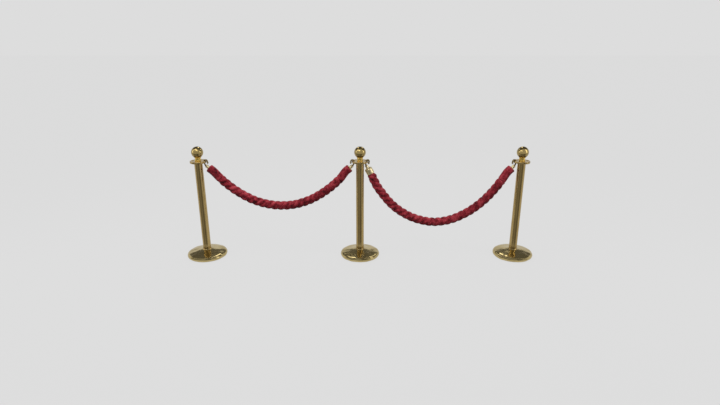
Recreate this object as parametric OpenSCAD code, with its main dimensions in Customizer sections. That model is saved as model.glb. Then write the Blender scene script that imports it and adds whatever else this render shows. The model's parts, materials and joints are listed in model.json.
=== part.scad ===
// Rope barrier: a row of three ball-topped brass stanchions joined by two
// twisted velvet ropes. Each rope end is held in a brass ferrule whose crook
// hook swivels in it and hangs over the land outside a hole in a collar.
// The origin is on the floor under the middle post; X runs along the row.

/* [Row] */
// Distance between the axes of neighbouring posts
post_spacing = 1280; // [1270:1:1290]

/* [Base] */
// Diameter of the base cover at its widest
base_d = 321; // [290:1:360]
// Radius of the rolled rim of the cover
rim_round = 20; // [17:0.5:22]
// Height of the cover's flat top, where the post stands
foot_h = 60; // [56:1:70]
// Sheet thickness of the cover
cover_wall = 1.5; // [1:0.1:2.5]
// Gap between the cover's lower edge and the floor
cover_lift = 2; // [1.5:0.1:2.8]
// Thickness of the floor pad
pad_t = 3; // [3:0.1:4]
// Width of the floor pad's ring
pad_w = 60; // [30:1:80]
// Radial room between the weight and the widest part of the cover's inside
weight_gap = 7.5; // [6:0.5:30]
// Thickness of the weight's disc
weight_t = 16; // [12:0.5:19]
// Depth of the pocket under the weight for the nut
pocket_deep = 21; // [20:0.5:26]
// Diameter of that pocket
pocket_d = 44; // [40:1:60]
// Width of the ring that covers the joint at the post's foot
foot_ring_w = 7; // [5:0.5:9]
// Height of that ring
foot_ring_h = 9; // [6:0.5:14]

/* [Post] */
// Outside diameter of the tube
tube_d = 63.5; // [58:0.5:66]
// Wall of the tube
tube_wall = 1.6; // [1.2:0.1:3]
// Height of the tube's top edge, which the collar sits on
post_h = 797; // [780:1:815]
// Thickness of the two plugs in the tube
plug_t = 12; // [8:1:20]
// Diameter of the tie rod
rod_d = 12; // [10:0.5:14]
// Thickness of the nut on the rod
nut_t = 10; // [8:0.5:11]
// Width of that nut across its corners
nut_corners = 22; // [20:0.5:26]
// Diameter of the washer under the nut
washer_d = 34; // [28:1:38]
// Thickness of that washer
washer_t = 2.5; // [1.5:0.1:3.5]

/* [Collar] */
// Diameter of the collar
collar_d = 128; // [124:0.5:134]
// Thickness of the collar
collar_t = 16; // [14:0.5:20]
// Number of rope holes in the collar
hole_count = 4; // [4]
// Diameter of a rope hole
hole_d = 19; // [18:0.25:20]
// Width of the rounded land between a hole and the rim
land_w = 8.5; // [7.5:0.25:9.5]

/* [Finial] */
// Diameter of the ball
ball_d = 92; // [80:1:100]
// Wall of the hollow ball
ball_wall = 2; // [1.5:0.1:3]
// Diameter of the ball's flat seat on the neck
ball_seat_d = 48; // [42:1:52]
// Diameter of the neck's waist
neck_waist_d = 45; // [38:1:50]
// Width of the beads at the top and bottom of the neck
neck_bead = 4; // [2:0.5:5]
// Height of the neck
neck_h = 28.5; // [26:0.5:36]

/* [Hook] */
// Diameter of the hook's bar
bar_d = 12; // [10:0.25:12.25]
// Radius of the crook's arch, along the middle of the bar
arch_r = 12; // [11.75:0.25:13]
// Length of the straight part before the tip
tip_drop = 14; // [10:0.5:18]
// Diameter of the round tip
tip_d = 15; // [13:0.25:15.5]
// Length of the straight part that passes down through the hole
leg_drop = 19; // [15:0.5:24]
// Radius of the bend between that leg and the shank
bend_r = 20; // [16:0.5:24]
// Angle of the shank below level when the leg is upright
shank_angle = 49; // [44:0.5:54]
// Length of full-size bar between the bend and the ferrule
bar_shank = 4; // [3.5:0.5:6]
// Diameter of the turned-down shank in the ferrule
pin_d = 10; // [8:0.25:10.5]
// Thickness of the nut that keeps the shank in the ferrule
pin_nut_t = 5; // [4:0.25:7]
// Width of that nut across its corners
pin_nut_corners = 19; // [16:0.5:24]

/* [Ferrule] */
// Outside diameter of the cup
cup_d = 61; // [59:0.5:63]
// Wall of the cup
cup_wall = 2.2; // [1.6:0.1:3]
// Length of the cup
cup_len = 50; // [46:1:54]
// Thickness of the cup's floor
cup_floor = 6; // [4:0.5:8]
// Length of the neck above the cup
neck_len = 24; // [21:0.5:26]
// Diameter of that neck
ferrule_neck_d = 26; // [22:0.5:28]
// Depth of the two turned grooves near the mouth
groove_deep = 0.8; // [0.4:0.1:1]
// Width of a groove
groove_w = 2; // [1:0.5:3]

/* [Rope] */
// Diameter of the rope over its strands
rope_d = 70; // [66:1:72]
// Thickness of the smooth velvet cuffs
cuff_t = 2; // [1.5:0.1:3]
// Bare length of cup between its shoulder and a cuff
cuff_back = 1; // [0.5:0.5:6]

/* [Hidden] */
$fn = 64;

// Clearances
run_gap = 0.05;      // running fit of a shank or thread, on the radius
slip_gap = 0.1;      // plugs in the tube and rings round it, on the radius
seat_gap = 0.4;      // curved faces of two bodies that rest on each other
rod_room = 0.4;      // drilled hole round the tie rod, on the radius
cuff_gap = 0.2;      // velvet cuff round the cup, on the radius
rope_gap = 0.3;      // rope end in the cup, on the radius
nut_seat = 0.2;      // swivel nut above the cup's floor

// Base
base_r = base_d / 2;
rim_x = base_r - rim_round;
rim_z = rim_round;
rim_end = 60;        // angle at which the rolled rim meets the dome
flat_margin = 1;     // flat top of the cover beyond the foot ring
pad_r = rim_x + 3;   // clear of the cover's turned-in edge
weight_hub = 14;     // spread of the weight's hub below its top

// Post
tube_r = tube_d / 2;
tube_in = tube_r - tube_wall;
rod_r = rod_d / 2;
foot_ring_r = tube_r + slip_gap + foot_ring_w;
flat_r = foot_ring_r + flat_margin;
rod_tail = 3;        // rod showing below the nut
washer_top = pad_t + pocket_deep;
nut_top = washer_top - washer_t;
rod_low = nut_top - nut_t - rod_tail;

// Collar and finial
collar_r = collar_d / 2;
collar_top = post_h + collar_t;
land_flat = 0.5;     // flat strip along the middle of the land
edge_r = (land_w - land_flat) / 2;
hole_x = collar_r - land_w - hole_d / 2;
neck_top = collar_top + neck_h;
ball_r = ball_d / 2;
seat_r = ball_seat_d / 2;
ball_z = neck_top + sqrt(pow(ball_r, 2) - pow(seat_r, 2));
ball_in = ball_r - ball_wall;
spigot_h = 5;
spigot_r = sqrt(pow(ball_in, 2) - pow(ball_z - neck_top, 2)) - slip_gap;
rod_grip = 18;       // rod inside the neck
rod_high = collar_top + rod_grip;
rod_end_gap = 2;     // blind end of the neck's hole above the rod

// Hook, in its own plane: X outwards from the post, Z up, arch centre at 0
bar_r = bar_d / 2;
hang_lean = 25;      // direction in which the arch bears on the land
hang = arch_r - bar_r - land_w / 2 - seat_gap;
arch_x = collar_r - land_w / 2 + hang * sin(hang_lean);
arch_z = collar_top - land_w / 2 - hang * cos(hang_lean);
bead_r = 2.5;        // round of the bead where the bend meets the shank
bend = 90 - shank_angle;
bend_end = [-arch_r + bend_r * (1 - cos(bend)), -leg_drop - bend_r * sin(bend)];
shank_dir = [cos(shank_angle), -sin(shank_angle)];
shoulder_len = 11;   // rounded shoulder of the cup
cup_r = cup_d / 2;
cup_in = cup_r - cup_wall;
neck_r = ferrule_neck_d / 2;
// distances along the shank from the end of the bend
neck_at = bar_shank;
cup_at = neck_at + neck_len;
floor_at = cup_at + cup_floor;
mouth_at = cup_at + cup_len;
pin_end = floor_at + nut_seat + pin_nut_t;
rope_start = pin_end + 2;
groove_at = [mouth_at - 12, mouth_at - 7];

// Row: the posts, and the four rope ends as [post, side, tilt]. A tilt turns
// the whole hook and ferrule about the arch, so that it follows its rope.
POSTS = ["left", "middle", "right"];
ENDS = ["left_outer", "left_inner", "right_inner", "right_outer"];
end_at = [[0, 1, -8], [1, -1, -8], [1, 1, 11], [2, -1, -2]];
CUFFED = [0, 1, 3];  // ends with a velvet cuff; the third cup is bare
function post_x(i) = (i - 1) * post_spacing;

// Middles of the two ropes between their ferrules, as [x, z]
left_route = [
    [-1115, 668], [-1070, 625], [-1020, 583], [-970, 547], [-920, 517],
    [-870, 491], [-810, 468], [-750, 452], [-690, 443], [-635, 440],
    [-580, 442], [-520, 451], [-460, 468], [-400, 491], [-350, 517],
    [-300, 548], [-250, 584], [-200, 626], [-155, 671]];
right_route = [
    [111, 656], [140, 600], [176, 549], [212, 502], [252, 457],
    [296, 417], [345, 382], [397, 352], [451, 329], [506, 312],
    [563, 301], [621, 298], [680, 304], [737, 317], [794, 338],
    [849, 366], [900, 397], [948, 433], [992, 472], [1032, 515],
    [1070, 561], [1105, 609], [1138, 660]];

// ---- shared shapes -------------------------------------------------------

function arc(c, r, from, to, steps) =
    [for (i = [0 : steps]) let (a = from + (to - from) * i / steps)
        [c[0] + r * cos(a), c[1] + r * sin(a)]];

function curve(p, steps) =
    [for (i = [1 : steps]) let (t = i / steps, u = 1 - t)
        u * u * u * p[0] + 3 * u * u * t * p[1] + 3 * u * t * t * p[2] + t * t * t * p[3]];

// outline of the cover from its lower edge to its flat top, moved in by a wall
function cover_line(inset) =
    let (r = rim_round - inset,
         low = -asin((rim_z - cover_lift) / r),
         rim = arc([rim_x, rim_z], r, low, rim_end, 14),
         last = rim[14],
         top = [flat_r, foot_h - inset],
         slope = rim_round * [-sin(rim_end), cos(rim_end)],
         run = (last[0] - flat_r) / 2)
    concat(rim, curve([last, last + 0.7 * slope, top + [run, -(foot_h - inset - last[1]) / 2], top], 10));

module bore(r, from, to) {
    translate([0, 0, from]) cylinder(h = to - from, r = r);
}

// puts a hook or ferrule, drawn in the hook's own plane, at a rope end
module at_end(i) {
    translate([post_x(end_at[i][0]), 0, 0]) rotate([0, 0, end_at[i][1] > 0 ? 0 : 180])
        translate([arch_x, 0, arch_z]) rotate([0, end_at[i][2], 0]) children();
}

// turns +Z along the shank, with 0 at the end of the bend
module along_shank() {
    translate([bend_end[0], 0, bend_end[1]]) rotate([0, 90 + shank_angle, 0]) children();
}

module bar_arc(r, from, turn) {
    rotate([90, 0, 0]) rotate([0, 0, from]) rotate_extrude(angle = turn) translate([r, 0]) circle(bar_r);
}

// ---- stanchion -----------------------------------------------------------

module floor_pad() {
    color("#222222") difference() {
        cylinder(h = pad_t, r = pad_r);
        bore(pad_r - pad_w, -1, pad_t + 1);
    }
}

// cast iron disc under the cover, with a pocket for the nut
module base_weight() {
    out = base_r - cover_wall - weight_gap;
    edge = 8;
    shelf = pad_t + weight_t;
    top = foot_h - cover_wall;
    color("#3b3d40") difference() {
        rotate_extrude() polygon([
            [0, pad_t], [out - edge, pad_t], [out, pad_t + edge], [out, shelf - 2],
            [out - 2, shelf], [flat_r + weight_hub, shelf], [flat_r, top], [0, top]]);
        bore(pocket_d / 2, pad_t - 1, washer_top);
        bore(rod_r + rod_room, 0, foot_h + 1);
    }
}

// spun brass shell over the weight
module base_cover() {
    color("#b08d3a") difference() {
        rotate_extrude() polygon(concat(cover_line(0), [[rod_r + rod_room, foot_h],
            [rod_r + rod_room, foot_h - cover_wall]], [for (i = [24 : -1 : 0]) cover_line(cover_wall)[i]]));
    }
}

module foot_ring() {
    r_in = tube_r + slip_gap;
    color("#c09b45") rotate_extrude() polygon(concat(
        [[r_in, foot_h], [foot_ring_r, foot_h], [foot_ring_r, foot_h + 1.5]],
        curve([[foot_ring_r, foot_h + 1.5], [foot_ring_r - 1, foot_h + foot_ring_h / 2],
               [r_in + 2, foot_h + foot_ring_h / 2], [r_in + 1.2, foot_h + foot_ring_h]], 8),
        [[r_in, foot_h + foot_ring_h]]));
}

module post_tube() {
    color("#b08d3a") difference() {
        bore(tube_r, foot_h, post_h);
        bore(tube_in, foot_h - 1, post_h + 1);
    }
}

module plug(from) {
    color("#8c9096") difference() {
        bore(tube_in - slip_gap, from, from + plug_t);
        bore(rod_r + slip_gap, from - 1, from + plug_t + 1);
    }
}

module foot_plug() {
    plug(foot_h);
}

module top_plug() {
    plug(post_h - plug_t);
}

module tie_rod() {
    color("#9a9ea3") bore(rod_r, rod_low, rod_high);
}

module base_washer() {
    color("#9a9ea3") difference() {
        bore(washer_d / 2, nut_top, washer_top);
        bore(rod_r + rod_room, nut_top - 1, washer_top + 1);
    }
}

module base_nut() {
    color("#9a9ea3") difference() {
        translate([0, 0, nut_top - nut_t]) cylinder(h = nut_t, r = nut_corners / 2, $fn = 6);
        bore(rod_r + run_gap, nut_top - nut_t - 1, nut_top + 1);
    }
}

// hole with rounded edges above and below
module rope_hole() {
    r = hole_d / 2;
    rotate_extrude() polygon(concat(
        [[0, post_h - 1], [r + edge_r, post_h - 1]],
        arc([r + edge_r, post_h + edge_r], edge_r, 270, 180, 8),
        arc([r + edge_r, collar_top - edge_r], edge_r, 180, 90, 8),
        [[r + edge_r, collar_top + 1], [0, collar_top + 1]]));
}

module collar() {
    color("#b08d3a") difference() {
        rotate_extrude() polygon(concat(
            [[rod_r + rod_room, post_h]],
            arc([collar_r - edge_r, post_h + edge_r], edge_r, 270, 360, 8),
            arc([collar_r - edge_r, collar_top - edge_r], edge_r, 0, 90, 8),
            [[rod_r + rod_room, collar_top]]));
        for (i = [0 : hole_count - 1])
            rotate([0, 0, i * 360 / hole_count]) translate([hole_x, 0, 0]) rope_hole();
    }
}

module finial_neck() {
    bead_low = collar_top + neck_bead / 2;
    bead_high = neck_top - neck_bead / 2;
    waist_r = neck_waist_d / 2;
    color("#d9b24a") difference() {
        rotate_extrude() polygon(concat(
            [[0, collar_top]],
            arc([seat_r, bead_low], neck_bead / 2, 270, 450, 10),
            curve([[seat_r - 1, bead_low + neck_bead / 2], [waist_r, bead_low + neck_bead],
                   [waist_r, bead_high - neck_bead], [seat_r - 1, bead_high - neck_bead / 2]], 10),
            arc([seat_r, bead_high], neck_bead / 2, 270, 450, 10),
            [[spigot_r, neck_top], [spigot_r, neck_top + spigot_h], [0, neck_top + spigot_h]]));
        bore(rod_r + run_gap, collar_top - 1, rod_high + rod_end_gap);
    }
}

// hollow spun ball, open over the neck's spigot
module finial_ball() {
    color("#b08d3a") difference() {
        translate([0, 0, ball_z]) sphere(ball_r);
        translate([0, 0, ball_z]) sphere(ball_in);
        translate([0, 0, neck_top - ball_d]) cylinder(h = ball_d, r = ball_r);
    }
}

// ---- rope ends -----------------------------------------------------------

// turned cup with a swivel hole in its neck
module ferrule() {
    bead = 2;
    color("#c2a04c") along_shank() difference() {
        rotate_extrude() polygon(concat(
            [[0, neck_at]],
            arc([neck_r, neck_at + bead], bead, -90, 90, 8),
            curve([[neck_r, neck_at + 2 * bead], [neck_r - 2, cup_at - 4],
                   [neck_r, cup_at], [neck_r + 3, cup_at]], 6),
            [for (i = [1 : 8]) let (a = i * 90 / 8)
                [neck_r + 3 + (cup_r - neck_r - 3) * sin(a), cup_at + shoulder_len * (1 - cos(a))]],
            [for (g = groove_at) each [[cup_r, g], [cup_r - groove_deep, g],
                [cup_r - groove_deep, g + groove_w], [cup_r, g + groove_w]]],
            [[cup_r, mouth_at], [0, mouth_at]]));
        bore(pin_d / 2 + run_gap, neck_at - 1, floor_at + 1);
        bore(cup_in, floor_at, mouth_at + 1);
    }
}

// crook hook: tip, arch over the land, leg down through the hole, bend, shank
module hook() {
    color("#a98838") {
        bar_arc(arch_r, 0, 180);
        translate([arch_r, 0, -tip_drop]) cylinder(h = tip_drop, r = bar_r);
        translate([arch_r, 0, -tip_drop]) sphere(tip_d / 2);
        translate([-arch_r, 0, -leg_drop]) cylinder(h = leg_drop, r = bar_r);
        translate([-arch_r + bend_r, 0, -leg_drop]) bar_arc(bend_r, 180, bend);
        along_shank() {
            bore(bar_r, 0, neck_at - nut_seat);
            rotate_extrude() polygon(concat([[0, -bead_r]], arc([bar_r, 0], bead_r, -90, 90, 10), [[0, bead_r]]));
            bore(pin_d / 2, neck_at - nut_seat, pin_end);
        }
    }
}

module hook_nut() {
    color("#9a9ea3") along_shank() difference() {
        translate([0, 0, floor_at + nut_seat]) cylinder(h = pin_nut_t, r = pin_nut_corners / 2, $fn = 6);
        bore(pin_d / 2 + run_gap, floor_at, pin_end + 1);
    }
}

// smooth velvet sleeve drawn up over the cup
module cuff() {
    color("#7c1420") along_shank() difference() {
        bore(cup_r + cuff_gap + cuff_t, cup_at + shoulder_len + cuff_back, mouth_at);
        bore(cup_r + cuff_gap, cup_at, mouth_at + 1);
    }
}

// ---- ropes ---------------------------------------------------------------

// unit vector [x, z] along the rope out of end i
function end_dir(i) = let (a = shank_angle + end_at[i][2]) [end_at[i][1] * cos(a), -sin(a)];

// point [x, z] at a distance along the shank of end i
function end_point(i, along) =
    let (p = bend_end + along * shank_dir, t = end_at[i][2],
         q = [p[0] * cos(t) + p[1] * sin(t), p[1] * cos(t) - p[0] * sin(t)])
    [post_x(end_at[i][0]) + end_at[i][1] * (arch_x + q[0]), arch_z + q[1]];

// tube swept along points [x, z, radius]; its two ends face along their cups
module swept(rings, first, last) {
    sides = 12;
    n = len(rings);
    function flat(v) = [v[0], v[1]];
    function way(i) = i < 3 ? first : i > n - 4 ? last : flat(rings[i + 1]) - flat(rings[i - 1]);
    points = [for (i = [0 : n - 1]) let (d = way(i) / norm(way(i)), r = rings[i][2])
        for (k = [0 : sides - 1]) let (a = k * 360 / sides)
            [rings[i][0] - d[1] * r * cos(a), r * sin(a), rings[i][1] + d[0] * r * cos(a)]];
    polyhedron(points, concat(
        [[for (k = [0 : sides - 1]) k]],
        [for (i = [0 : n - 2], k = [0 : sides - 1]) let (m = (k + 1) % sides)
            [i * sides + k, (i + 1) * sides + k, (i + 1) * sides + m, i * sides + m]],
        [[for (k = [sides - 1 : -1 : 0]) (n - 1) * sides + k]]));
}

module rope(route, a, b) {
    swell = 5;       // length over which the rope fills out past the cup
    ends = [[rope_start, cup_in - rope_gap], [mouth_at, cup_in - rope_gap], [mouth_at + swell, rope_d / 2]];
    color("#8c1826") swept(concat(
        [for (e = ends) concat(end_point(a, e[0]), e[1])],
        [for (p = route) concat(p, rope_d / 2)],
        [for (k = [2 : -1 : 0]) concat(end_point(b, ends[k][0]), ends[k][1])]),
        end_dir(a), -end_dir(b));
}

// ---- nodes ---------------------------------------------------------------

for (i = [0 : 2]) translate([post_x(i), 0, 0]) {
    floor_pad();
    base_weight();
    base_cover();
    foot_ring();
    post_tube();
    foot_plug();
    top_plug();
    tie_rod();
    base_washer();
    base_nut();
    collar();
    finial_neck();
    finial_ball();
}
for (i = [0 : 3]) at_end(i) {
    ferrule();
    hook();
    hook_nut();
}
for (i = CUFFED) at_end(i) cuff();
rope(left_route, 0, 1);  // rope_left
rope(right_route, 2, 3);  // rope_right
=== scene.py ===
import json
import math
import bpy
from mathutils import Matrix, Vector, noise


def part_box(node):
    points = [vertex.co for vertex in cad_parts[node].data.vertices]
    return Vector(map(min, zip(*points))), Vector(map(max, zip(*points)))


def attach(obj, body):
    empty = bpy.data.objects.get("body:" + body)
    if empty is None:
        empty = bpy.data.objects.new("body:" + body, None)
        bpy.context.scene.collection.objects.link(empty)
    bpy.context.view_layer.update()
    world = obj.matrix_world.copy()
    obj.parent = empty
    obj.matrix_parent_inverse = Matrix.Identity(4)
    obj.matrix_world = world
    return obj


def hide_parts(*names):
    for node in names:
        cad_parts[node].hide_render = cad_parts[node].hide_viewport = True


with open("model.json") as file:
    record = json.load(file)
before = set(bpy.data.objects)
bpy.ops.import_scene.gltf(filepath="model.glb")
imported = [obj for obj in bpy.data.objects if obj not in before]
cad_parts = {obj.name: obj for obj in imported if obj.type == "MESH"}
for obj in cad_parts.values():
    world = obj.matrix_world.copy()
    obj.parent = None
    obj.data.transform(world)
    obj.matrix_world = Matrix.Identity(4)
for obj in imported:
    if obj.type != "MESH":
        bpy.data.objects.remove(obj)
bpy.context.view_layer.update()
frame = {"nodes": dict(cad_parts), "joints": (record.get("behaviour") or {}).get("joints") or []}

posts = ["left", "middle", "right"]
ropeEnds = ["left_outer", "left_inner", "right_inner", "right_outer"]
print("frame loaded:", len(frame["nodes"]), "nodes")


# where each hook swivels in its ferrule, and the way its shank points
swivels = {}
for joint in frame["joints"]:
    for end in ropeEnds:
        if joint["name"] == "swivel_hook_" + end + "_turn":
            swivels[end] = (Vector(joint["pos_m"]), Vector(joint["axis"]).normalized())


def alongShank(end, distance):
    place, axis = swivels[end]
    return place + axis * distance


def addObject(name, data):
    thing = bpy.data.objects.new(name, data)
    bpy.context.scene.collection.objects.link(thing)
    return thing


cameraValues = {"place": (0.0, -3.773, 1.710), "pitch": 18.262, "lens": 24.445,
                "sensor": 36}


def makeCamera(v):
    data = bpy.data.cameras.new("camera")
    data.sensor_width = v["sensor"]
    data.lens = v["lens"]
    camera = addObject("camera", data)
    camera.location = v["place"]
    camera.rotation_euler = (math.radians(90 - v["pitch"]), 0, 0)
    bpy.context.scene.camera = camera


makeCamera(cameraValues)


def addNode(tree, kind, inputs=None, **settings):
    # inputs maps a socket's name or number to a value or to another node's output
    node = tree.nodes.new(kind)
    for key, value in settings.items():
        setattr(node, key, value)
    for key, value in (inputs or {}).items():
        socket = node.inputs[key]
        if isinstance(value, bpy.types.NodeSocket):
            tree.links.new(value, socket)
        else:
            socket.default_value = value
    return node


def calc(tree, operation, a, b=0.0):
    return addNode(tree, "ShaderNodeMath", {0: a, 1: b}, operation=operation).outputs[0]


def addSocket(tree, name, kind, out=False, default=None):
    direction = "OUTPUT" if out else "INPUT"
    socket = tree.interface.new_socket(name=name, in_out=direction, socket_type=kind)
    if default is not None:
        socket.default_value = default


finishValues = {"fineness": 9.0, "slowShare": 0.65, "fineShare": 0.35, "polishedBelow": 0.38, "dullAbove": 0.66}


def makeUnevenGroup(v):
    # slow colour and gloss variation of hand-polished or worn metal
    tree = bpy.data.node_groups.new("unevenFinish", "ShaderNodeTree")
    addSocket(tree, "Scale", "NodeSocketFloat", default=20.0)
    addSocket(tree, "Colour", "NodeSocketColor")
    addSocket(tree, "Dull Colour", "NodeSocketColor")
    addSocket(tree, "Roughness", "NodeSocketFloat", default=0.15)
    addSocket(tree, "Roughness Spread", "NodeSocketFloat", default=0.1)
    addSocket(tree, "Colour", "NodeSocketColor", out=True)
    addSocket(tree, "Roughness", "NodeSocketFloat", out=True)
    addSocket(tree, "Height", "NodeSocketFloat", out=True)
    given = tree.nodes.new("NodeGroupInput").outputs
    place = tree.nodes.new("ShaderNodeTexCoord").outputs["Object"]
    slow = addNode(tree, "ShaderNodeTexNoise", {"Vector": place, "Scale": given["Scale"], "Detail": 2.0})
    quick = calc(tree, "MULTIPLY", given["Scale"], v["fineness"])
    fine = addNode(tree, "ShaderNodeTexNoise", {"Vector": place, "Scale": quick, "Detail": 4.0})
    blend = calc(tree, "ADD", calc(tree, "MULTIPLY", slow.outputs["Fac"], v["slowShare"]),
                 calc(tree, "MULTIPLY", fine.outputs["Fac"], v["fineShare"]))
    mask = addNode(tree, "ShaderNodeMapRange", {"Value": blend, "From Min": v["polishedBelow"],
                                                "From Max": v["dullAbove"]})
    mix = addNode(tree, "ShaderNodeMix", {"Factor": mask.outputs[0]}, data_type="RGBA")
    tree.links.new(given["Colour"], mix.inputs[6])
    tree.links.new(given["Dull Colour"], mix.inputs[7])
    rough = calc(tree, "ADD", given["Roughness"],
                 calc(tree, "MULTIPLY", mask.outputs[0], given["Roughness Spread"]))
    out = tree.nodes.new("NodeGroupOutput").inputs
    tree.links.new(mix.outputs[2], out["Colour"])
    tree.links.new(rough, out["Roughness"])
    tree.links.new(blend, out["Height"])
    return tree


unevenGroup = makeUnevenGroup(finishValues)


def newMaterial(name):
    material = bpy.data.materials.new(name)
    material.use_nodes = True
    tree = material.node_tree
    return material, tree, tree.nodes["Principled BSDF"]


def makeMetal(name, v):
    material, tree, shader = newMaterial(name)
    finish = addNode(tree, "ShaderNodeGroup", node_tree=unevenGroup)
    for key, value in (("Scale", v["patchScale"]), ("Colour", v["colour"]), ("Dull Colour", v["dull"]),
                       ("Roughness", v["roughness"]), ("Roughness Spread", v["spread"])):
        finish.inputs[key].default_value = value
    bump = addNode(tree, "ShaderNodeBump", {"Height": finish.outputs["Height"], "Strength": v["bump"],
                                            "Distance": v["bumpHeight"]})
    shader.inputs["Metallic"].default_value = v["metallic"]
    tree.links.new(finish.outputs["Colour"], shader.inputs["Base Color"])
    tree.links.new(finish.outputs["Roughness"], shader.inputs["Roughness"])
    tree.links.new(bump.outputs["Normal"], shader.inputs["Normal"])
    return material


metalValues = {
    "polishedBrass": {"colour": (0.48, 0.35, 0.145, 1), "dull": (0.41, 0.29, 0.11, 1), "metallic": 1.0,
                      "roughness": 0.16, "spread": 0.1, "patchScale": 16.0, "bump": 0.1,
                      "bumpHeight": 0.0012},
    # painted light: a lighter, paler copy of the polished brass that paints the base covers brighter and damps
    # their orange reflection of the tube
    "litCoverBrass": {"colour": (0.57, 0.455, 0.215, 1), "dull": (0.48, 0.37, 0.155, 1), "metallic": 1.0,
                   "roughness": 0.14, "spread": 0.08, "patchScale": 16.0, "bump": 0.1, "bumpHeight": 0.0012},
    # painted shade: a darker copy of the polished brass that darkens the finial balls
    "shadedBallBrass": {"colour": (0.42, 0.315, 0.125, 1), "dull": (0.32, 0.235, 0.09, 1), "metallic": 1.0,
                  "roughness": 0.13, "spread": 0.08, "patchScale": 24.0, "bump": 0.12, "bumpHeight": 0.0012},
    "brightBrass": {"colour": (0.90, 0.64, 0.17, 1), "dull": (0.72, 0.50, 0.13, 1), "metallic": 1.0,
                    "roughness": 0.14, "spread": 0.08, "patchScale": 30.0, "bump": 0.1, "bumpHeight": 0.0006},
    # painted highlight: a cream, pale copy of the brass that paints the ferrules' bright highlights; its higher
    # roughness gives the satin finish
    "satinHighlightBrass": {"colour": (0.86, 0.74, 0.46, 1), "dull": (0.66, 0.53, 0.27, 1), "metallic": 1.0,
                   "roughness": 0.24, "spread": 0.1, "patchScale": 40.0, "bump": 0.15, "bumpHeight": 0.0006},
    # painted shade: a darker copy of the brass that darkens the hooks
    "shadedHookBrass": {"colour": (0.30, 0.235, 0.11, 1), "dull": (0.20, 0.15, 0.065, 1), "metallic": 1.0,
                  "roughness": 0.2, "spread": 0.15, "patchScale": 60.0, "bump": 0.15, "bumpHeight": 0.0006},
    "zincSteel": {"colour": (0.55, 0.56, 0.58, 1), "dull": (0.4, 0.41, 0.42, 1), "metallic": 1.0,
                  "roughness": 0.35, "spread": 0.15, "patchScale": 60.0, "bump": 0.2, "bumpHeight": 0.0004},
    "castIron": {"colour": (0.10, 0.10, 0.11, 1), "dull": (0.05, 0.05, 0.055, 1), "metallic": 0.6,
                 "roughness": 0.55, "spread": 0.25, "patchScale": 70.0, "bump": 0.7, "bumpHeight": 0.0012},
    "padRubber": {"colour": (0.028, 0.028, 0.03, 1), "dull": (0.045, 0.045, 0.045, 1), "metallic": 0.0,
                  "roughness": 0.75, "spread": 0.15, "patchScale": 90.0, "bump": 0.5, "bumpHeight": 0.0006}}
metals = {name: makeMetal(name, v) for name, v in metalValues.items()}

velvetValues = {"dark": (0.075, 0.004, 0.008, 1), "colour": (0.30, 0.019, 0.031, 1),
                "light": (0.55, 0.07, 0.09, 1), "crushStops": (0.34, 0.5, 0.68), "crushScale": 26.0,
                "pileScale": 1400.0, "pileShade": (0.78, 1.18), "pileBump": 0.5, "pileHeight": 0.0008,
                "roughness": 0.85, "specular": 0.2, "sheen": 0.7, "sheenRoughness": 0.35,
                "sheenTint": (1.0, 0.52, 0.55, 1)}


def makeVelvet(v):
    material, tree, shader = newMaterial("redVelvet")
    place = tree.nodes.new("ShaderNodeTexCoord").outputs["Object"]
    crush = addNode(tree, "ShaderNodeTexNoise", {"Vector": place, "Scale": v["crushScale"], "Detail": 5.0,
                                                 "Roughness": 0.62})
    pile = addNode(tree, "ShaderNodeTexNoise", {"Vector": place, "Scale": v["pileScale"], "Detail": 1.0})
    ramp = tree.nodes.new("ShaderNodeValToRGB")
    tree.links.new(crush.outputs["Fac"], ramp.inputs["Fac"])
    darkStop, middleStop, lightStop = v["crushStops"]
    ramp.color_ramp.elements[0].position = darkStop
    ramp.color_ramp.elements[0].color = v["dark"]
    ramp.color_ramp.elements[1].position = lightStop
    ramp.color_ramp.elements[1].color = v["light"]
    ramp.color_ramp.elements.new(middleStop).color = v["colour"]
    darkest, lightest = v["pileShade"]
    speck = addNode(tree, "ShaderNodeMapRange", {"Value": pile.outputs["Fac"], "From Min": 0.3,
                                                 "From Max": 0.7, "To Min": darkest, "To Max": lightest})
    mix = addNode(tree, "ShaderNodeMix", {"Factor": 1.0}, data_type="RGBA", blend_type="MULTIPLY")
    tree.links.new(ramp.outputs["Color"], mix.inputs[6])
    tree.links.new(speck.outputs[0], mix.inputs[7])
    bump = addNode(tree, "ShaderNodeBump", {"Height": pile.outputs["Fac"], "Strength": v["pileBump"],
                                            "Distance": v["pileHeight"]})
    tree.links.new(mix.outputs[2], shader.inputs["Base Color"])
    tree.links.new(bump.outputs["Normal"], shader.inputs["Normal"])
    shader.inputs["Roughness"].default_value = v["roughness"]
    shader.inputs["Specular IOR Level"].default_value = v["specular"]
    shader.inputs["Sheen Weight"].default_value = v["sheen"]
    shader.inputs["Sheen Roughness"].default_value = v["sheenRoughness"]
    shader.inputs["Sheen Tint"].default_value = v["sheenTint"]
    return material


velvet = makeVelvet(velvetValues)
print("materials made")


def makePiece(name, points, faces, material, body):
    mesh = bpy.data.meshes.new(name)
    mesh.from_pydata(points, [], faces)
    mesh.materials.append(material)
    mesh.shade_smooth()
    piece = addObject(name, mesh)
    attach(piece, body)
    return piece


def ringFaces(rings, sides, closed=False):
    # quads between neighbouring rings; a closed run joins its last ring to its first
    faces = []
    for i in range(rings if closed else rings - 1):
        j = (i + 1) % rings
        for k in range(sides):
            m = (k + 1) % sides
            faces.append((i * sides + k, j * sides + k, j * sides + m, i * sides + m))
    return faces


# hand-spun sheet waves a little, outside the clamped middle
waveValues = {"flatRadius": 0.045, "fadeIn": 0.03, "wavesPerMetre": 19, "perPost": 3}


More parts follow.
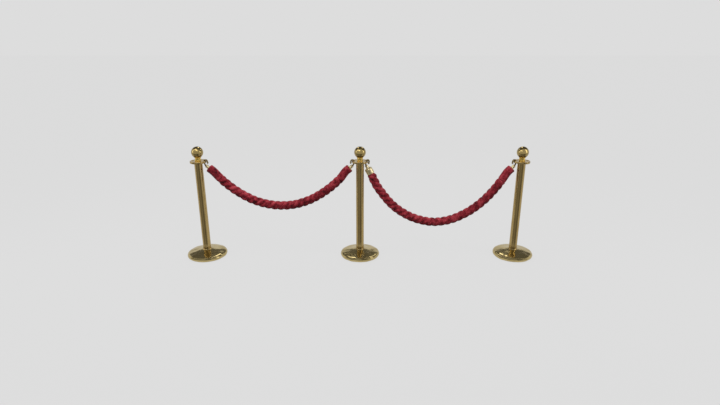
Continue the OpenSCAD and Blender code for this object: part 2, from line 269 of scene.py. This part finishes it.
def turned(name, outline, material, body, centre, sides=128, frameTo=None, uneven=0.0, crease=40):
    # outline is a closed run of (radius, height), counter-clockwise with the axis on its left
    wave = waveValues
    points = []
    for r, z in outline:
        for k in range(sides):
            a = 2 * math.pi * k / sides
            p = Vector((r * math.cos(a), r * math.sin(a), z))
            if uneven and r > wave["flatRadius"]:
                spot = Vector((p.x * wave["wavesPerMetre"], p.y * wave["wavesPerMetre"],
                               centre[0] * wave["perPost"]))
                p.z += uneven * eased((r - wave["flatRadius"]) / wave["fadeIn"]) * noise.noise(spot)
            points.append(frameTo(p) if frameTo else p + centre)
    faces = [tuple(reversed(f)) for f in ringFaces(len(outline), sides, closed=True)]
    piece = makePiece(name, points, faces, material, body)
    piece.data.set_sharp_from_angle(angle=math.radians(crease))
    return piece


def arcPoints(cx, cz, r, a0, a1, steps):
    return [(cx + r * math.cos(math.radians(a0 + (a1 - a0) * i / steps)),
             cz + r * math.sin(math.radians(a0 + (a1 - a0) * i / steps))) for i in range(steps + 1)]


def bezier(p, steps, skipFirst=True):
    out = []
    for i in range(1 if skipFirst else 0, steps + 1):
        t = i / steps
        w = ((1 - t) ** 3, 3 * (1 - t) ** 2 * t, 3 * (1 - t) * t * t, t ** 3)
        out.append(tuple(sum(w[j] * p[j][c] for j in range(4)) for c in range(2)))
    return out


def between(a, b, t):
    return a + (b - a) * t


def eased(t):
    t = min(1.0, max(0.0, t))
    return t * t * (3 - 2 * t)


ropeValues = {"strandOffset": 0.0115, "strandRadius": 0.0245, "layLength": 0.150, "ringSpacing": 0.005,
              "profilePoints": 84, "lumps": 0.0016, "lumpScale": 34.0, "diameter": 0.070,
              "mouthFromSwivel": 0.074, "startInCup": 0.034, "squeezed": 0.0274, "fillingOut": 0.034,
              "fillsBeforeMouth": 0.006, "routeSteps": 16}

# middles of the ropes between the ferrules, as (x, z)
ropeRoutes = {
    "rope_left": {"ends": ("left_outer", "left_inner"), "points": [
        (-1.115, 0.668), (-1.070, 0.625), (-1.020, 0.583), (-0.970, 0.547), (-0.920, 0.517),
        (-0.870, 0.491), (-0.810, 0.468), (-0.750, 0.452), (-0.690, 0.443), (-0.635, 0.440),
        (-0.580, 0.442), (-0.520, 0.451), (-0.460, 0.468), (-0.400, 0.491), (-0.350, 0.517),
        (-0.300, 0.548), (-0.250, 0.584), (-0.200, 0.626), (-0.155, 0.671)]},
    "rope_right": {"ends": ("right_inner", "right_outer"), "points": [
        (0.111, 0.656), (0.140, 0.600), (0.176, 0.549), (0.212, 0.502), (0.252, 0.457),
        (0.296, 0.417), (0.345, 0.382), (0.397, 0.352), (0.451, 0.329), (0.506, 0.312),
        (0.563, 0.301), (0.621, 0.298), (0.680, 0.304), (0.737, 0.317), (0.794, 0.338),
        (0.849, 0.366), (0.900, 0.397), (0.948, 0.433), (0.992, 0.472), (1.032, 0.515),
        (1.070, 0.561), (1.105, 0.609), (1.138, 0.660)]}}
cuffValues = {"ends": ("left_outer", "left_inner", "right_outer"), "behindMouth": 0.048, "pastMouth": 0.072,
              "shoulder": 0.010, "endRadius": 0.0264, "radius": 0.0329, "wall": 0.0018, "hem": 0.0013,
              "hemLength": 0.008, "sides": 72, "spacing": 0.003, "gathers": 0.0007, "gatherCount": 11,
              "gatherDrift": 3, "gatheredFrom": 0.4}


def smoothRoute(points, steps):
    # a Catmull-Rom line through the points
    line = []
    n = len(points)
    for i in range(n - 1):
        p0 = points[max(i - 1, 0)]
        p1, p2 = points[i], points[i + 1]
        p3 = points[min(i + 2, n - 1)]
        for s in range(steps):
            t = s / steps
            line.append(0.5 * ((2 * p1) + (p2 - p0) * t + (2 * p0 - 5 * p1 + 4 * p2 - p3) * t * t
                               + (3 * p1 - p0 - 3 * p2 + p3) * t ** 3))
    line.append(points[-1])
    return line


def evenly(line, spacing):
    total = sum((b - a).length for a, b in zip(line, line[1:]))
    count = max(2, round(total / spacing))
    step, out, done, k = total / count, [line[0].copy()], 0.0, 0
    for i in range(1, count):
        want = i * step
        while done + (line[k + 1] - line[k]).length < want:
            done += (line[k + 1] - line[k]).length
            k += 1
        out.append(line[k].lerp(line[k + 1], (want - done) / (line[k + 1] - line[k]).length))
    out.append(line[-1].copy())
    return out, total


def routeOf(name, v):
    first, last = ropeRoutes[name]["ends"]
    mouth = v["mouthFromSwivel"]
    points = [alongShank(first, mouth - v["startInCup"]), alongShank(first, mouth)]
    points += [Vector((x, 0, z)) for x, z in ropeRoutes[name]["points"]]
    points += [alongShank(last, mouth), alongShank(last, mouth - v["startInCup"])]
    return smoothRoute(points, v["routeSteps"])


def makeRopeTree():
    # a lobed outline swept along the curve and turned with its length makes the laid strands
    tree = bpy.data.node_groups.new("laidRope", "GeometryNodeTree")
    addSocket(tree, "Geometry", "NodeSocketGeometry")
    for name, default in (("Strand Offset", 0.01), ("Strand Radius", 0.02), ("Lay Length", 0.15),
                          ("Ring Spacing", 0.005), ("Lumps", 0.001), ("Lump Scale", 34.0),
                          ("Start Squeeze", 0.05),
                          ("End Squeeze", 0.05), ("Filling Out", 0.03), ("Squeezed Radius", 0.0235)):
        addSocket(tree, name, "NodeSocketFloat", default=default)
    addSocket(tree, "Profile Points", "NodeSocketInt", default=84)
    addSocket(tree, "Material", "NodeSocketMaterial")
    addSocket(tree, "Geometry", "NodeSocketGeometry", out=True)
    given = tree.nodes.new("NodeGroupInput").outputs

    even = addNode(tree, "GeometryNodeResampleCurve", {"Curve": given["Geometry"],
                                                       "Length": given["Ring Spacing"]}, mode="LENGTH")
    reached = tree.nodes.new("GeometryNodeSplineParameter").outputs["Length"]
    turn = calc(tree, "MULTIPLY", calc(tree, "DIVIDE", reached, given["Lay Length"]), -2 * math.pi)
    tilted = addNode(tree, "GeometryNodeSetCurveTilt", {"Curve": even.outputs[0], "Tilt": turn})
    # the rope is squeezed where it enters a cup or a cuff
    total = addNode(tree, "GeometryNodeCurveLength", {"Curve": given["Geometry"]}).outputs[0]
    fullSize = calc(tree, "ADD", given["Strand Offset"], given["Strand Radius"])
    small = calc(tree, "DIVIDE", given["Squeezed Radius"], fullSize)
    filled = []
    left = calc(tree, "SUBTRACT", total, reached)
    for distance, squeeze in ((reached, "Start Squeeze"), (left, "End Squeeze")):
        until = calc(tree, "ADD", given[squeeze], given["Filling Out"])
        filled.append(addNode(tree, "ShaderNodeMapRange", {"Value": distance, "From Min": given[squeeze],
                      "From Max": until}, interpolation_type="SMOOTHSTEP").outputs[0])
    share = calc(tree, "MINIMUM", filled[0], filled[1])
    size = calc(tree, "ADD", small, calc(tree, "MULTIPLY", share, calc(tree, "SUBTRACT", 1.0, small)))

    # outline: three overlapping round strands
    circle = addNode(tree, "GeometryNodeCurvePrimitiveCircle", {"Resolution": given["Profile Points"],
                                                                "Radius": 1.0})
    position = tree.nodes.new("GeometryNodeInputPosition").outputs[0]
    place = addNode(tree, "ShaderNodeSeparateXYZ", {0: position})
    angle = calc(tree, "ARCTAN2", place.outputs[1], place.outputs[0])
    third = 2 * math.pi / 3
    fold = calc(tree, "ABSOLUTE",
                calc(tree, "SUBTRACT", calc(tree, "FLOORED_MODULO", angle, third), third / 2))
    reach = calc(tree, "MULTIPLY", given["Strand Offset"], calc(tree, "COSINE", fold))
    across = calc(tree, "MULTIPLY", given["Strand Offset"], calc(tree, "SINE", fold))
    inside = calc(tree, "SUBTRACT", calc(tree, "POWER", given["Strand Radius"], 2.0),
                  calc(tree, "POWER", across, 2.0))
    radius = calc(tree, "ADD", reach, calc(tree, "SQRT", inside))
    scaled = addNode(tree, "ShaderNodeVectorMath", {0: position}, operation="SCALE")
    tree.links.new(radius, scaled.inputs["Scale"])
    outline = addNode(tree, "GeometryNodeSetPosition", {"Geometry": circle.outputs[0],
                                                        "Position": scaled.outputs[0]})

    swept = addNode(tree, "GeometryNodeCurveToMesh", {"Curve": tilted.outputs[0],
                                                      "Profile Curve": outline.outputs[0],
                                                      "Fill Caps": True, "Scale": size})
    # soft unevenness of the filling
    lump = addNode(tree, "ShaderNodeTexNoise", {"Scale": given["Lump Scale"], "Detail": 2.0})
    amount = calc(tree, "MULTIPLY", calc(tree, "SUBTRACT", lump.outputs["Fac"], 0.5), given["Lumps"])
    normal = tree.nodes.new("GeometryNodeInputNormal").outputs[0]
    push = addNode(tree, "ShaderNodeVectorMath", {0: normal}, operation="SCALE")
    tree.links.new(calc(tree, "MULTIPLY", amount, 2.0), push.inputs["Scale"])
    lumpy = addNode(tree, "GeometryNodeSetPosition", {"Geometry": swept.outputs[0], "Offset": push.outputs[0]})
    smooth = addNode(tree, "GeometryNodeSetShadeSmooth", {"Geometry": lumpy.outputs[0]})
    real = addNode(tree, "GeometryNodeRealizeInstances", {"Geometry": smooth.outputs[0]})
    painted = addNode(tree, "GeometryNodeSetMaterial", {"Geometry": real.outputs[0],
                                                        "Material": given["Material"]})
    out = tree.nodes.new("NodeGroupOutput").inputs
    tree.links.new(painted.outputs[0], out[0])
    return tree


def plainResult(source, tree, values, name):
    # runs a Geometry Nodes tree on an object and gives its result as a plain mesh object
    modifier = source.modifiers.new("make", "NODES")
    modifier.node_group = tree
    for item in tree.interface.items_tree:
        if item.item_type == "SOCKET" and item.in_out == "INPUT" and item.name in values:
            modifier[item.identifier] = values[item.name]
    graph = bpy.context.evaluated_depsgraph_get()
    mesh = bpy.data.meshes.new_from_object(source.evaluated_get(graph))
    source.modifiers.clear()
    bpy.data.objects.remove(source)
    mesh.name = name
    return addObject(name, mesh)


def lineObject(name, line):
    data = bpy.data.curves.new(name, "CURVE")
    data.dimensions = "3D"
    spline = data.splines.new("POLY")
    spline.points.add(len(line) - 1)
    for point, p in zip(spline.points, line):
        point.co = (*p, 1)
    return addObject(name, data)


ropeTree = makeRopeTree()


def makeRope(name, v, cuffV):
    line, total = evenly(routeOf(name, v), v["ringSpacing"])
    squeeze = []
    for end in ropeRoutes[name]["ends"]:
        # under a cuff the rope fills out round the hem, in a bare cup from just inside the mouth
        if end in cuffV["ends"]:
            squeeze.append(v["startInCup"] + (cuffV["pastMouth"] - v["fillingOut"] / 2))
        else:
            squeeze.append(v["startInCup"] - v["fillsBeforeMouth"])
    rope = plainResult(lineObject(name + "_line", line), ropeTree, {
        "Strand Offset": v["strandOffset"], "Strand Radius": v["strandRadius"], "Lay Length": v["layLength"],
        "Ring Spacing": v["ringSpacing"], "Lumps": v["lumps"], "Lump Scale": v["lumpScale"],
        "Profile Points": v["profilePoints"], "Start Squeeze": squeeze[0], "End Squeeze": squeeze[1],
        "Squeezed Radius": v["squeezed"], "Filling Out": v["fillingOut"], "Material": velvet},
        name + "_strands")
    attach(rope, "row")
    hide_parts(name)
    return rope, line, total


def makeCuff(end, line, v, ropeV):
    # a sleeve along the rope's own line, from the cup's shoulder to a hem over the strands
    start = alongShank(end, ropeV["mouthFromSwivel"] - v["behindMouth"])
    path, length = evenly([start] + line, v["spacing"])
    count = round((v["behindMouth"] + v["pastMouth"]) / v["spacing"]) + 1
    reach = (count - 1) * v["spacing"]
    outside, within = [], []
    for i in range(count):
        ahead = (path[i + 1] - path[max(i - 1, 0)]).normalized()
        side = Vector((0, 1, 0))
        up = side.cross(ahead)
        s = i * v["spacing"]
        radius = between(v["endRadius"], v["radius"], math.sqrt(1 - (1 - min(1.0, s / v["shoulder"])) ** 2))
        roll = max(0.0, 1 - min(s, reach - s) / v["hemLength"])
        hem = v["hem"] * math.sin(math.pi * min(1.0, 2 * roll)) if roll > 0.5 else v["hem"] * roll * 2
        loose = eased((s / reach - v["gatheredFrom"]) / (1 - v["gatheredFrom"]))
        for depth, ring in ((hem, outside), (-v["wall"], within)):
            row = []
            for k in range(v["sides"]):
                a = 2 * math.pi * k / v["sides"]
                drift = v["gatherDrift"] * math.sin(2 * a)
                fold = v["gathers"] * math.sin(v["gatherCount"] * a + drift) * loose
                row.append(path[i] + (math.cos(a) * up + math.sin(a) * side) * (radius + depth + fold))
            ring.append(row)
    rows = outside + within[::-1]
    faces = [tuple(reversed(f)) for f in ringFaces(len(rows), v["sides"], closed=True)]
    points = [p for row in rows for p in row]
    cuff = makePiece("cuff_" + end + "_sleeve", points, faces, velvet, "row")
    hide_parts("cuff_" + end)
    return cuff


for name, route in ropeRoutes.items():
    rope, line, total = makeRope(name, ropeValues, cuffValues)
    cuffs = [makeCuff(end, run, cuffValues, ropeValues)
             for end, run in zip(route["ends"], (line, line[::-1])) if end in cuffValues["ends"]]
    print(name, "length", round(total, 4), "cuffs", len(cuffs))


def postX(post):
    low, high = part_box("post_tube_" + post)
    return (low[0] + high[0]) / 2


coverValues = {"rimRound": 0.020, "rimEnd": 60, "rimSteps": 30, "wall": 0.0015, "lift": 0.002,
               "waviness": 0.0026, "flatPast": 0.001, "holeRadius": 0.0064, "slopeReach": 0.7,
               "domeSteps": 28}


def coverLine(inset, radius, footHeight, flatRadius, v):
    rim = v["rimRound"]
    r = rim - inset
    low = -math.degrees(math.asin((rim - v["lift"]) / r))
    arc = arcPoints(radius - rim, rim, r, low, v["rimEnd"], v["rimSteps"])
    last = arc[-1]
    top = (flatRadius, footHeight - inset)
    slope = (-math.sin(math.radians(v["rimEnd"])) * rim * v["slopeReach"],
             math.cos(math.radians(v["rimEnd"])) * rim * v["slopeReach"])
    run = (last[0] - flatRadius) / 2
    return arc + bezier([last, (last[0] + slope[0], last[1] + slope[1]),
                         (top[0] + run, top[1] - (footHeight - inset - last[1]) / 2), top], v["domeSteps"])


def makeCover(post, v):
    low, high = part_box("base_cover_" + post)
    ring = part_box("foot_ring_" + post)
    flat = (ring[1][0] - ring[0][0]) / 2 + v["flatPast"]
    radius = (high[0] - low[0] + high[1] - low[1]) / 4 + 0.00008
    outer = coverLine(0, radius, high[2], flat, v)
    inner = coverLine(v["wall"], radius, high[2], flat, v)
    hole = [(v["holeRadius"], high[2]), (v["holeRadius"], high[2] - v["wall"])]
    outline = outer + hole + inner[::-1]
    # the cover gets the lighter copy of the brass, which is painted light
    cover = turned("base_cover_" + post + "_spun", outline, metals["litCoverBrass"], "row",
                   Vector((postX(post), 0, 0)), sides=160, uneven=v["waviness"])
    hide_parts("base_cover_" + post)


footRingValues = {"lip": 0.0015, "foot": 0.001, "hollow": 0.002, "brim": 0.0012, "clearance": 0.0001}


def makeFootRing(post, v):
    low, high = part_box("foot_ring_" + post)
    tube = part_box("post_tube_" + post)
    inner = (tube[1][0] - tube[0][0]) / 2 + v["clearance"]
    outer = (high[0] - low[0]) / 2
    tall = high[2] - low[2]
    outline = [(inner, low[2]), (outer, low[2])] + bezier(
        [(outer, low[2] + v["lip"]), (outer - v["foot"], low[2] + tall / 2),
         (inner + v["hollow"], low[2] + tall / 2), (inner + v["brim"], high[2])], 12,
        skipFirst=False) + [(inner, high[2])]
    ring = turned("foot_ring_" + post + "_turned", outline, metals["polishedBrass"], "row",
                  Vector((postX(post), 0, 0)))
    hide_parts("foot_ring_" + post)


tubeValues = {"wall": 0.0016, "steps": 12}


def makeTube(post, v):
    low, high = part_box("post_tube_" + post)
    outer = (high[0] - low[0]) / 2
    rows = [(outer, between(low[2], high[2], i / v["steps"])) for i in range(v["steps"] + 1)]
    outline = rows + [(outer - v["wall"], z) for r, z in reversed(rows)]
    tube = turned("post_tube_" + post + "_drawn", outline, metals["polishedBrass"], "row",
                  Vector((postX(post), 0, 0)), sides=96)
    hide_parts("post_tube_" + post)


finialValues = {"seatRadius": 0.024, "bead": 0.002, "waist": 0.0225, "underBead": 0.001, "ballWall": 0.002,
                "spigot": 0.0208, "bore": 0.00605, "pole": 89.4, "poleRadius": 0.0003}


def makeNeck(post, v):
    low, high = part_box("finial_neck_" + post)
    base, top, b, seat = low[2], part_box("finial_ball_" + post)[0][2], v["bead"], v["seatRadius"]
    edge = seat - v["underBead"]
    waist = [(edge, base + 2 * b), (v["waist"], base + 3 * b), (v["waist"], top - 3 * b), (edge, top - 2 * b)]
    outline = [(v["bore"], base)] + arcPoints(seat, base + b, b, -90, 90, 12) + bezier(waist, 14)
    outline += arcPoints(seat, top - b, b, -90, 90, 12)
    outline += [(v["spigot"], top), (v["spigot"], high[2]), (v["bore"], high[2])]
    neck = turned("finial_neck_" + post + "_turned", outline, metals["brightBrass"], "finial_" + post,
                  Vector((postX(post), 0, 0)), sides=96)
    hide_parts("finial_neck_" + post)


def makeBall(post, v):
    low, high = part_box("finial_ball_" + post)
    radius = (high[1] - low[1] + high[0] - low[0]) / 4 + 0.0001
    centre = high[2] - radius
    inner = radius - v["ballWall"]
    start = -math.degrees(math.acos(v["seatRadius"] / radius))
    startIn = -math.degrees(math.asin(min(1.0, (centre - low[2]) / inner)))
    outline = arcPoints(0, centre, radius, start, v["pole"], 56)
    outline += [(v["poleRadius"], high[2]), (v["poleRadius"], centre + inner)]
    outline += arcPoints(0, centre, inner, startIn, v["pole"], 30)[::-1]
    # the ball gets the darker copy of the brass, which is painted shade
    ball = turned("finial_ball_" + post + "_spun", outline, metals["shadedBallBrass"], "finial_" + post,
                  Vector((postX(post), 0, 0)), sides=112)
    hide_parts("finial_ball_" + post)


for post in posts:
    makeCover(post, coverValues)
    makeFootRing(post, footRingValues)
    makeTube(post, tubeValues)
    makeNeck(post, finialValues)
    makeBall(post, finialValues)
print("stanchions made")


ferruleValues = {"neckRadius": 0.013, "neckLength": 0.024, "waistIn": 0.002, "waistAbove": 0.004,
                 "flare": 0.003, "cupRadius": 0.0305, "cupLength": 0.050, "wall": 0.0022, "floor": 0.006,
                 "shoulder": 0.011, "bead": 0.002, "grooveDeep": 0.0008, "grooveWide": 0.002,
                 "grooveSlope": 0.0003, "grooves": (0.038, 0.043), "edge": 0.0006, "bore": 0.00505,
                 "shoulderSteps": 14}


def makeFerrule(end, v):
    place, axis = swivels[end]
    side = Vector((0, 1, 0))
    across = side.cross(axis)

    def onShank(p):
        return place + axis * p.z + across * p.x + side * p.y

    n, c, b, w = v["neckRadius"], v["neckLength"], v["bead"], v["cupRadius"]
    mouth = c + v["cupLength"]
    outline = arcPoints(n, b, b, -90, 90, 10)
    outline += bezier([(n, 2 * b), (n - v["waistIn"], c - v["waistAbove"]), (n, c), (n + v["flare"], c)], 8)
    for i in range(1, v["shoulderSteps"] + 1):
        a = math.radians(90 * i / v["shoulderSteps"])
        outline.append((n + v["flare"] + (w - n - v["flare"]) * math.sin(a),
                        c + v["shoulder"] * (1 - math.cos(a))))
    for g in v["grooves"]:
        deep, wide, lean = v["grooveDeep"], v["grooveWide"], v["grooveSlope"]
        outline += [(w, c + g), (w - deep, c + g + lean), (w - deep, c + g + wide - lean), (w, c + g + wide)]
    outline += [(w, mouth - v["edge"]), (w - v["edge"], mouth), (w - v["wall"], mouth),
                (w - v["wall"], c + v["floor"]), (v["bore"], c + v["floor"]), (v["bore"], 0)]
    # the ferrule gets the cream copy of the brass, which is a painted highlight
    ferrule = turned("ferrule_" + end + "_turned", outline, metals["satinHighlightBrass"], "row", Vector(),
                     sides=96, frameTo=onShank, crease=35)
    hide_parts("ferrule_" + end)


for end in ropeEnds:
    makeFerrule(end, ferruleValues)

# the collars, hooks and hidden hardware keep their CAD shape
finishes = {"floor_pad": "padRubber", "base_weight": "castIron", "foot_plug": "zincSteel",
            "top_plug": "zincSteel", "tie_rod": "zincSteel", "base_washer": "zincSteel",
            # the hooks get the darker copy of the brass, which is painted shade
            "base_nut": "zincSteel", "hook_nut": "zincSteel", "collar": "polishedBrass", "hook": "shadedHookBrass"}
for name, node in frame["nodes"].items():
    for start in sorted(finishes, key=len, reverse=True):
        if name.startswith(start + "_"):
            for place in node.material_slots:
                place.material = metals[finishes[start]]
            break
print("rope ends and hardware finished")


roomValues = {"paleness": 0.723, "floorGlow": 0.683, "floorColour": 0.05, "ambient": 0.60, "floorHalf": 60}


def makeRoom(v):
    mesh = bpy.data.meshes.new("floor")
    half = v["floorHalf"]
    corners = [(-half, -half, 0), (half, -half, 0), (half, half, 0), (-half, half, 0)]
    mesh.from_pydata(corners, [], [(0, 1, 2, 3)])
    floor = addObject("floor", mesh)
    material = bpy.data.materials.new("paleFloor")
    material.use_nodes = True
    tree = material.node_tree
    tree.nodes.clear()
    diffuse = addNode(tree, "ShaderNodeBsdfDiffuse", {"Color": (v["floorColour"],) * 3 + (1,)})
    path = tree.nodes.new("ShaderNodeLightPath").outputs
    seen = calc(tree, "ADD", calc(tree, "ADD", path["Is Camera Ray"], path["Is Glossy Ray"]),
                path["Is Transmission Ray"])
    glow = addNode(tree, "ShaderNodeEmission", {"Color": (1, 1, 1, 1),
                                                "Strength": calc(tree, "MULTIPLY", seen, v["floorGlow"])})
    both = addNode(tree, "ShaderNodeAddShader", {0: diffuse.outputs[0], 1: glow.outputs[0]})
    addNode(tree, "ShaderNodeOutputMaterial", {"Surface": both.outputs[0]})
    mesh.materials.append(material)

    world = bpy.data.worlds.new("paleRoom")
    bpy.context.scene.world = world
    world.use_nodes = True
    tree = world.node_tree
    tree.nodes.clear()
    path = tree.nodes.new("ShaderNodeLightPath").outputs
    seen = calc(tree, "ADD", calc(tree, "ADD", path["Is Camera Ray"], path["Is Glossy Ray"]),
                path["Is Transmission Ray"])
    light = addNode(tree, "ShaderNodeBackground", {"Color": (1, 1, 1, 1), "Strength": v["ambient"]})
    pale = addNode(tree, "ShaderNodeBackground", {"Color": (v["paleness"],) * 3 + (1,), "Strength": 1.0})
    both = addNode(tree, "ShaderNodeMixShader", {0: seen, 1: light.outputs[0], 2: pale.outputs[0]})
    addNode(tree, "ShaderNodeOutputWorld", {"Surface": both.outputs[0]})


lamps = [
    {"name": "key", "place": (-1.2, -1.5, 3.0), "aim": (0, 0, 0.4), "size": (3.2, 1.0), "power": 26},
    {"name": "right", "place": (3.2, -1.0, 1.9), "aim": (0.4, 0, 0.5), "size": (0.7, 2.4), "power": 16},
    {"name": "left", "place": (-3.4, -0.4, 1.8), "aim": (-0.4, 0, 0.5), "size": (0.5, 2.2), "power": 9},
    {"name": "backStripA", "place": (-1.0, 1.7, 3.0), "aim": (-0.6, 0, 0.3), "size": (0.5, 1.6), "power": 8},
    {"name": "backStripB", "place": (1.3, 1.9, 3.0), "aim": (0.6, 0, 0.3), "size": (0.5, 1.6), "power": 8}]


def makeLamp(v):
    data = bpy.data.lights.new(v["name"], "AREA")
    data.shape = "RECTANGLE"
    data.size, data.size_y = v["size"]
    data.energy = v["power"]
    lamp = addObject(v["name"], data)
    lamp.location = v["place"]
    lamp.rotation_euler = (Vector(v["aim"]) - Vector(v["place"])).to_track_quat("-Z", "Y").to_euler()


# grey cards that only polished metal sees: painted reflections, dim glowing sheets standing round the brass as
# a studio sets cards, which paint dark and pale streaks into it each card of a stanchion spans two angles in
# degrees, and has a glow
reflectionCardValues = {"distance": 0.27, "offFloor": 0.002, "tall": 0.80,
              "cards": ((-66, -24, 0.26), (-24, 6, 0.31), (6, 30, 0.15), (30, 52, 0.36)),
              "ceiling": {"height": 3.4, "x": 6.0, "near": -0.6, "far": 7.0, "glow": 0.14}}


def makeCard(name, corners, glow):
    material, tree, shader = newMaterial(name + "_paintedReflection")
    shader.inputs["Base Color"].default_value = (0, 0, 0, 1)
    shader.inputs["Specular IOR Level"].default_value = 0.0
    shader.inputs["Roughness"].default_value = 1.0
    shader.inputs["Emission Color"].default_value = (glow, glow, glow, 1)
    shader.inputs["Emission Strength"].default_value = 1.0
    mesh = bpy.data.meshes.new(name)
    mesh.from_pydata(corners, [], [(0, 1, 2, 3)])
    mesh.materials.append(material)
    card = addObject(name, mesh)
    card.visible_camera = card.visible_diffuse = card.visible_transmission = card.visible_shadow = False


def makeCards(v):
    for post in posts:
        x0 = postX(post)
        for i, (start, stop, glow) in enumerate(v["cards"]):
            (ax, ay), (bx, by) = ((x0 + v["distance"] * math.sin(math.radians(a)),
                                   -v["distance"] * math.cos(math.radians(a))) for a in (start, stop))
            foot, top = v["offFloor"], v["tall"]
            makeCard("card_" + post + str(i), [(ax, ay, foot), (bx, by, foot), (bx, by, top), (ax, ay, top)],
                     glow)
    # the ceiling card is a painted reflection too: a dim glowing sheet overhead that darkens the tops of the
    # brass in reflection
    c = v["ceiling"]
    makeCard("card_ceiling", [(-c["x"], c["near"], c["height"]), (c["x"], c["near"], c["height"]),
                              (c["x"], c["far"], c["height"]), (-c["x"], c["far"], c["height"])], c["glow"])


makeRoom(roomValues)
for lampValues in lamps:
    makeLamp(lampValues)
makeCards(reflectionCardValues)
bpy.context.scene.view_settings.view_transform = "Standard"
print("room and light made")
